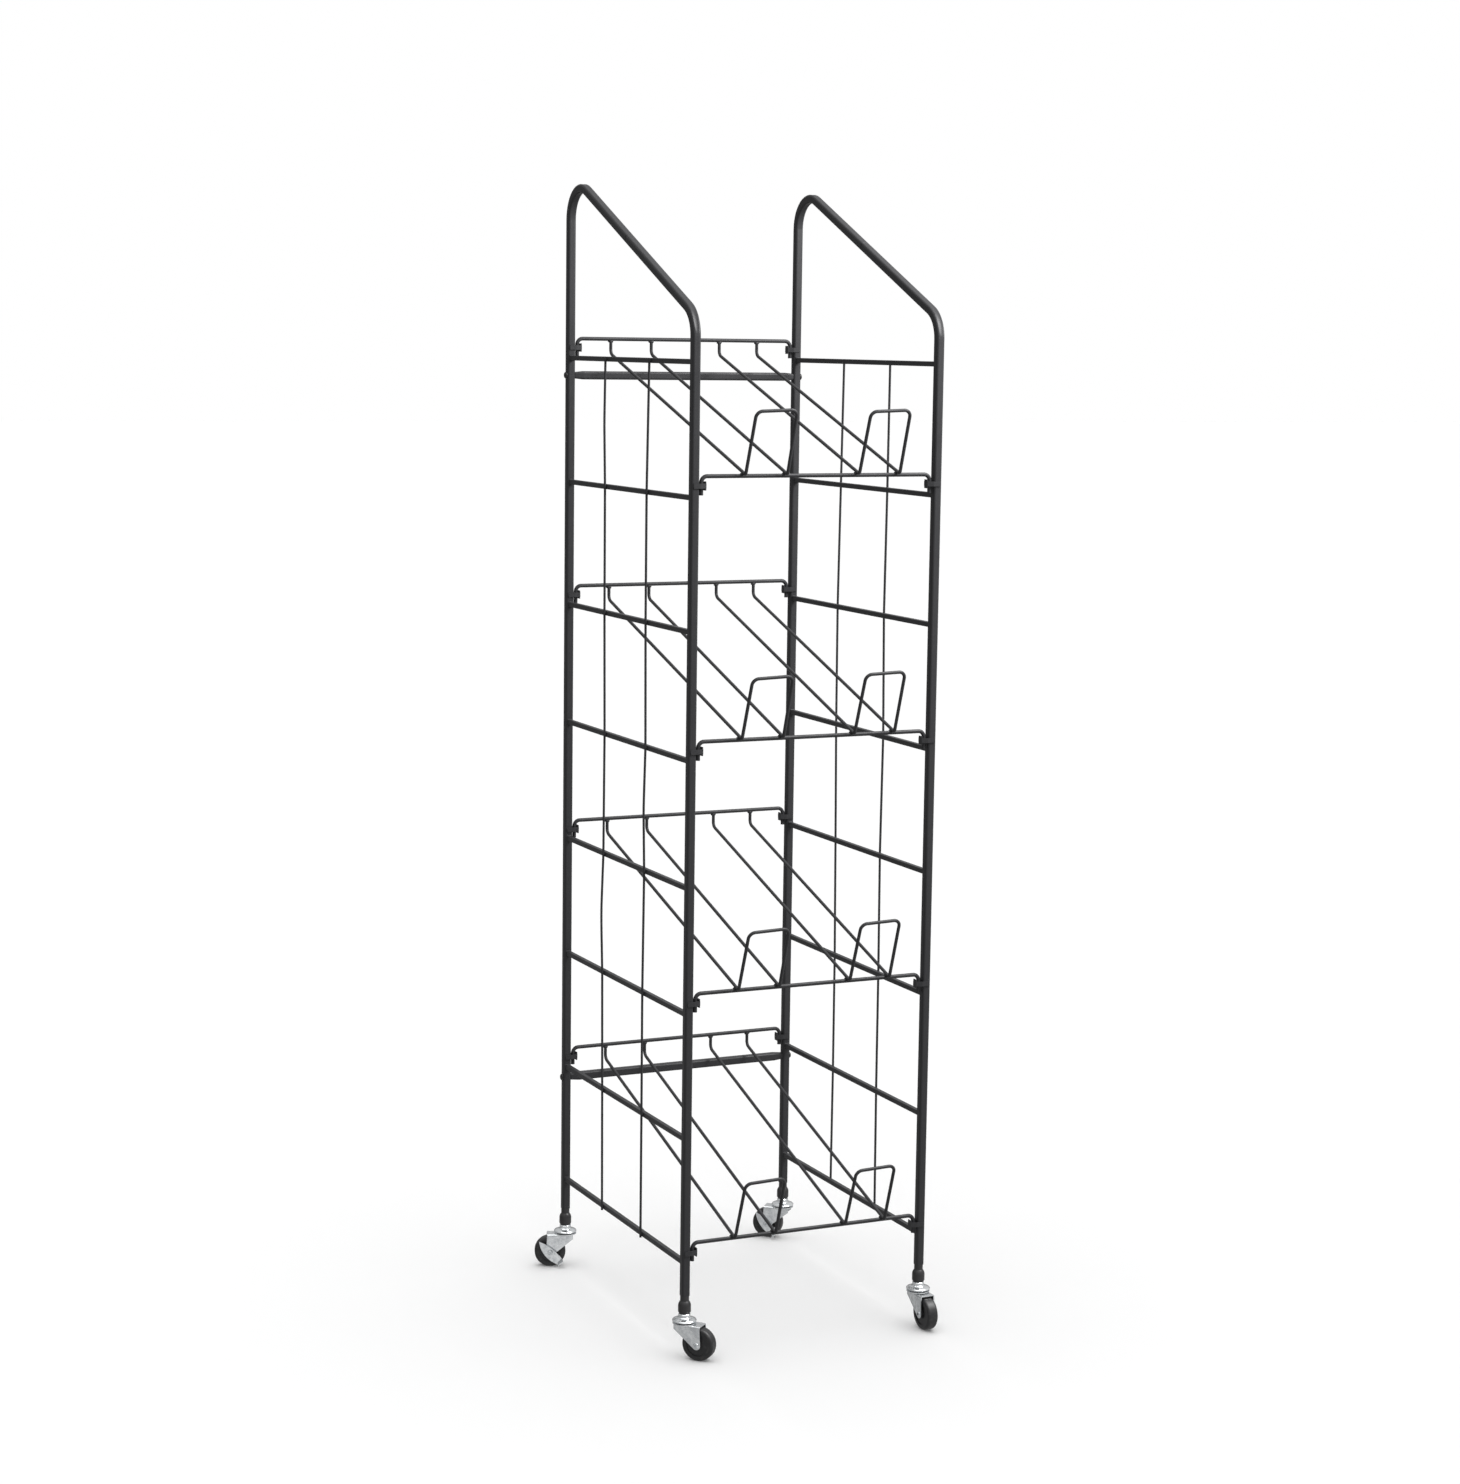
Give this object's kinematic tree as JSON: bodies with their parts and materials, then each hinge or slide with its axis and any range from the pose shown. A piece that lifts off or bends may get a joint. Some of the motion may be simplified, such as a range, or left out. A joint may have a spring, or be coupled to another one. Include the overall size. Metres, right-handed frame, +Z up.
{
  "type": "newspaper rack",
  "caption": "Mobile wire newspaper rack: ladder side frames of square tube, sloping lift-off shelves with front stop loops, swivel casters.",
  "frame": {"origin": "centre of the bounding box at floor level, where the caster wheels stand", "axes": "+Z up, -Y towards the front of the rack where the papers are taken out, +X to the right seen from the front"},
  "size_m": [0.4036, 0.4978, 1.5217],
  "materials": {
    "black_powder_coat": "satin black powder coat with a fine orange peel",
    "black_socket": "semi-gloss black",
    "black_screw": "black oxide",
    "bare_steel": "machined",
    "zinc_plate": "bright zinc plate",
    "bearing_steel": "polished",
    "caster_wheel": "hard black rubber, satin"
  },
  "bodies": {
    "frame": {"left_rear_post": "black_powder_coat", "left_front_post": "black_powder_coat", "left_rungs": "black_powder_coat", "left_rear_side_wire": "black_powder_coat", "left_front_side_wire": "black_powder_coat", "right_rear_post": "black_powder_coat", "right_front_post": "black_powder_coat", "right_rungs": "black_powder_coat", "right_rear_side_wire": "black_powder_coat", "right_front_side_wire": "black_powder_coat", "upper_brace": "black_powder_coat", "lower_brace": "black_powder_coat", "brace_plugs": "bare_steel", "brace_screws": "black_screw", "shelf_1_sockets": "black_powder_coat", "shelf_2_sockets": "black_powder_coat", "shelf_3_sockets": "black_powder_coat", "shelf_4_sockets": "black_powder_coat", "left_front_caster_stem_plate": "zinc_plate", "right_front_caster_stem_plate": "zinc_plate", "left_rear_caster_stem_plate": "zinc_plate", "right_rear_caster_stem_plate": "zinc_plate", "caster_sockets": "black_socket"},
    "shelf_1": {"shelf_1_rear_bar": "black_powder_coat", "shelf_1_front_bar": "black_powder_coat", "shelf_1_left_wire": "black_powder_coat", "shelf_1_right_wire": "black_powder_coat"},
    "shelf_2": {"shelf_2_rear_bar": "black_powder_coat", "shelf_2_front_bar": "black_powder_coat", "shelf_2_left_wire": "black_powder_coat", "shelf_2_right_wire": "black_powder_coat"},
    "shelf_3": {"shelf_3_rear_bar": "black_powder_coat", "shelf_3_front_bar": "black_powder_coat", "shelf_3_left_wire": "black_powder_coat", "shelf_3_right_wire": "black_powder_coat"},
    "shelf_4": {"shelf_4_rear_bar": "black_powder_coat", "shelf_4_front_bar": "black_powder_coat", "shelf_4_left_wire": "black_powder_coat", "shelf_4_right_wire": "black_powder_coat"},
    "left_front_swivel": {"left_front_caster_fork": "zinc_plate", "left_front_caster_axle": "zinc_plate", "left_front_caster_balls": "bearing_steel"},
    "left_front_wheel": {"left_front_caster_wheel": "caster_wheel"},
    "right_front_swivel": {"right_front_caster_fork": "zinc_plate", "right_front_caster_axle": "zinc_plate", "right_front_caster_balls": "bearing_steel"},
    "right_front_wheel": {"right_front_caster_wheel": "caster_wheel"},
    "left_rear_swivel": {"left_rear_caster_fork": "zinc_plate", "left_rear_caster_axle": "zinc_plate", "left_rear_caster_balls": "bearing_steel"},
    "left_rear_wheel": {"left_rear_caster_wheel": "caster_wheel"},
    "left_rear_brake": {"left_rear_caster_brake_lever": "zinc_plate"},
    "right_rear_swivel": {"right_rear_caster_fork": "zinc_plate", "right_rear_caster_axle": "zinc_plate", "right_rear_caster_balls": "bearing_steel"},
    "right_rear_wheel": {"right_rear_caster_wheel": "caster_wheel"},
    "right_rear_brake": {"right_rear_caster_brake_lever": "zinc_plate"}
  },
  "joints": [
    {"name": "shelf_1_lift", "type": "slide", "parent": "frame", "child": "shelf_1", "axis": [0, 0, 1], "range_m": [0, 0.03]},
    {"name": "shelf_2_lift", "type": "slide", "parent": "frame", "child": "shelf_2", "axis": [0, 0, 1], "range_m": [0, 0.03]},
    {"name": "shelf_3_lift", "type": "slide", "parent": "frame", "child": "shelf_3", "axis": [0, 0, 1], "range_m": [0, 0.03]},
    {"name": "shelf_4_lift", "type": "slide", "parent": "frame", "child": "shelf_4", "axis": [0, 0, 1], "range_m": [0, 0.03]},
    {"name": "left_front_swivel_turn", "type": "hinge", "parent": "frame", "child": "left_front_swivel", "pos_m": [-0.15914, -0.20517, 0.046], "axis": [0, 0, 1], "continuous": true},
    {"name": "left_front_wheel_spin", "type": "hinge", "parent": "left_front_swivel", "child": "left_front_wheel", "pos_m": [-0.14469, -0.22122, 0.022], "axis": [-0.7431, -0.6691, 0], "continuous": true},
    {"name": "right_front_swivel_turn", "type": "hinge", "parent": "frame", "child": "right_front_swivel", "pos_m": [0.18586, -0.20517, 0.046], "axis": [0, 0, 1], "continuous": true},
    {"name": "right_front_wheel_spin", "type": "hinge", "parent": "right_front_swivel", "child": "right_front_wheel", "pos_m": [0.18643, -0.22676, 0.022], "axis": [-0.9997, -0.0262, 0], "continuous": true},
    {"name": "left_rear_swivel_turn", "type": "hinge", "parent": "frame", "child": "left_rear_swivel", "pos_m": [-0.15914, 0.21633, 0.046], "axis": [0, 0, 1], "continuous": true},
    {"name": "left_rear_wheel_spin", "type": "hinge", "parent": "left_rear_swivel", "child": "left_rear_wheel", "pos_m": [-0.17944, 0.22372, 0.022], "axis": [0.342, 0.9397, 0], "continuous": true},
    {"name": "left_rear_brake_press", "type": "hinge", "parent": "left_rear_swivel", "child": "left_rear_brake", "pos_m": [-0.17944, 0.22372, 0.022], "axis": [0.342, 0.9397, 0], "range_deg": [0, 25]},
    {"name": "right_rear_swivel_turn", "type": "hinge", "parent": "frame", "child": "right_rear_swivel", "pos_m": [0.18586, 0.21633, 0.046], "axis": [0, 0, 1], "continuous": true},
    {"name": "right_rear_wheel_spin", "type": "hinge", "parent": "right_rear_swivel", "child": "right_rear_wheel", "pos_m": [0.16932, 0.23022, 0.022], "axis": [0.6428, 0.766, 0], "continuous": true},
    {"name": "right_rear_brake_press", "type": "hinge", "parent": "right_rear_swivel", "child": "right_rear_brake", "pos_m": [0.16932, 0.23022, 0.022], "axis": [0.6428, 0.766, 0], "range_deg": [0, 25]}
  ]
}
